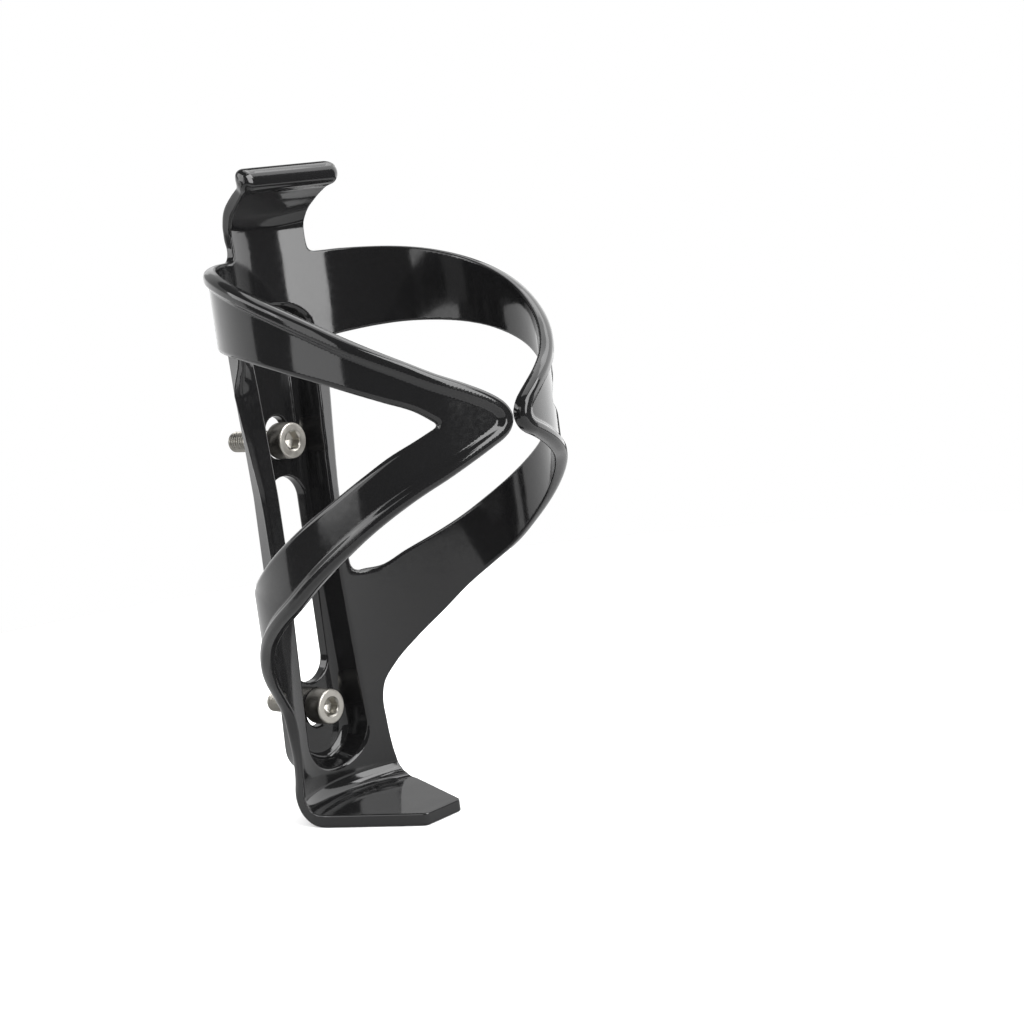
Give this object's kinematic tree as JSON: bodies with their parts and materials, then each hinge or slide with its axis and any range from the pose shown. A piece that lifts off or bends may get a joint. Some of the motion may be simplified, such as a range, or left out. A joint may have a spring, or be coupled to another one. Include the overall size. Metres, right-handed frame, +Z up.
{
  "type": "water bottle cage",
  "caption": "Glossy black plastic bicycle bottle cage: channelled back plate, two wrapping V arms, foot shelf, top clip tab and socket head mounting screws.",
  "frame": {"origin": "midway between the two frame bosses, in the plane of the back plate's rear mounting face", "axes": "+Z up along the bottle and the back plate, +Y towards the bicycle frame tube, -Y towards the bottle and the cage's open front, +X to the cage's right arm"},
  "size_m": [0.074, 0.092, 0.1508],
  "materials": {
    "plastic": "high gloss black moulding",
    "screw_steel": "bright nickel, satin"
  },
  "bodies": {
    "frame_side": {"spine": "plastic", "foot": "plastic"},
    "tab": {"top_tab": "plastic"},
    "left": {"left_arm": "plastic"},
    "right": {"right_arm": "plastic"},
    "screw_upper": {"upper_screw": "screw_steel"},
    "screw_lower": {"lower_screw": "screw_steel"}
  },
  "joints": [
    {"name": "left_arm_flex", "type": "hinge", "parent": "frame_side", "child": "left", "pos_m": [-0.0125, -0.0092, 0.02], "axis": [0, 0, -1], "range_deg": [0, 8], "stiffness_Nm_per_rad": 12},
    {"name": "right_arm_flex", "type": "hinge", "parent": "frame_side", "child": "right", "pos_m": [0.0125, -0.0092, 0.02], "axis": [0, 0, 1], "range_deg": [0, 8], "stiffness_Nm_per_rad": 12},
    {"name": "top_tab_flex", "type": "hinge", "parent": "frame_side", "child": "tab", "pos_m": [0, -0.0056, 0.0752], "axis": [-1, 0, 0], "range_deg": [0, 10], "stiffness_Nm_per_rad": 4},
    {"name": "upper_screw_out", "type": "slide", "parent": "frame_side", "child": "screw_upper", "axis": [0, -1, 0], "range_m": [0, 0.03]},
    {"name": "lower_screw_out", "type": "slide", "parent": "frame_side", "child": "screw_lower", "axis": [0, -1, 0], "range_m": [0, 0.03]}
  ]
}
